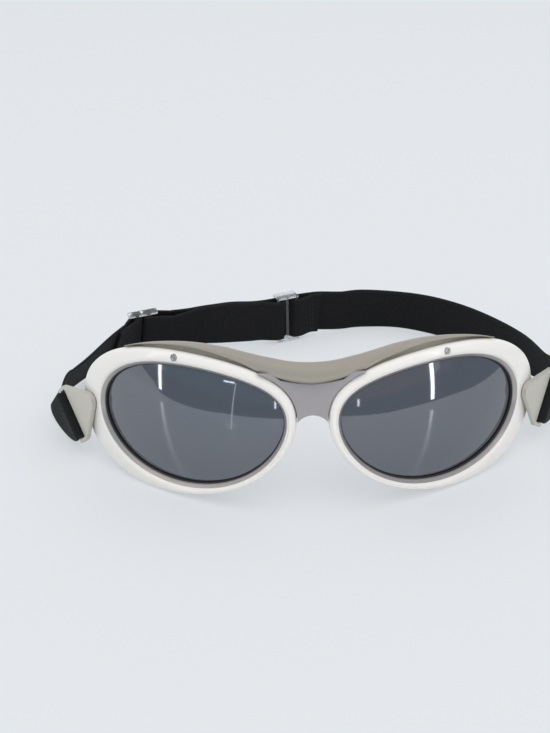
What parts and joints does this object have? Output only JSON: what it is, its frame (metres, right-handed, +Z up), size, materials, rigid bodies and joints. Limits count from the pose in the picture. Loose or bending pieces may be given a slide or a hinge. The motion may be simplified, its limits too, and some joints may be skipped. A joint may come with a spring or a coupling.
{
  "type": "goggle sunglasses",
  "caption": "Wrap goggle sunglasses: white lens rims, pearl brow bar, grey bridge and mirrored lenses on an elastic head strap with swivelling side loops",
  "frame": {"origin": "middle of the bounding box, at its base: the surface the goggles stand on", "axes": "+Z up, the lenses face -Y, +X is the viewer's right (the wearer's left)"},
  "size_m": [0.2029, 0.1622, 0.0563],
  "materials": {
    "frame": "satin mauve-grey lacquer",
    "brow_bar": "pearl metallic lacquer",
    "rim": "gloss warm white",
    "trim": "satin grey metal",
    "seal": "matt black rubber",
    "lens": "dark lens with a mirror coating",
    "pad": "closed-cell foam",
    "screws": "plain steel",
    "bush": "plain brass",
    "loop": "satin pale grey",
    "webbing": "woven elastic webbing",
    "clear": "clear moulded plastic"
  },
  "bodies": {
    "frame": {"frame_front": "frame", "brow_bar": "brow_bar", "left_rim": "rim", "right_rim": "rim", "left_trim_ring": "trim", "right_trim_ring": "trim", "left_lens_seal": "seal", "right_lens_seal": "seal", "left_lens": "lens", "right_lens": "lens", "left_face_pad": "pad", "right_face_pad": "pad", "left_rim_screw": "screws", "right_rim_screw": "screws", "left_pivot_bush": "bush", "right_pivot_bush": "bush", "short_strap": "webbing", "long_strap": "webbing", "strap_ring": "clear"},
    "left_loop": {"left_strap_loop": "loop", "left_pivot_screw": "screws", "left_strap_end": "webbing"},
    "right_loop": {"right_strap_loop": "loop", "right_pivot_screw": "screws", "right_strap_end": "webbing"},
    "slide": {"adjuster_slide": "clear"}
  },
  "joints": [
    {"name": "left_loop_swivel", "type": "hinge", "parent": "frame", "child": "left_loop", "pos_m": [-0.0773, -0.03851, 0.02416], "axis": [-0.7562, -0.6536, 0.0293], "range_deg": [-15, 15], "deforming": ["short_strap"]},
    {"name": "right_loop_swivel", "type": "hinge", "parent": "frame", "child": "right_loop", "pos_m": [0.0773, -0.03851, 0.02416], "axis": [0.7562, -0.6536, 0.0293], "range_deg": [-15, 15], "deforming": ["long_strap"]},
    {"name": "adjuster_travel", "type": "slide", "parent": "frame", "child": "slide", "axis": [0.9214, 0.3869, 0.0355], "range_m": [-0.006, 0.006], "deforming": ["long_strap"]}
  ]
}
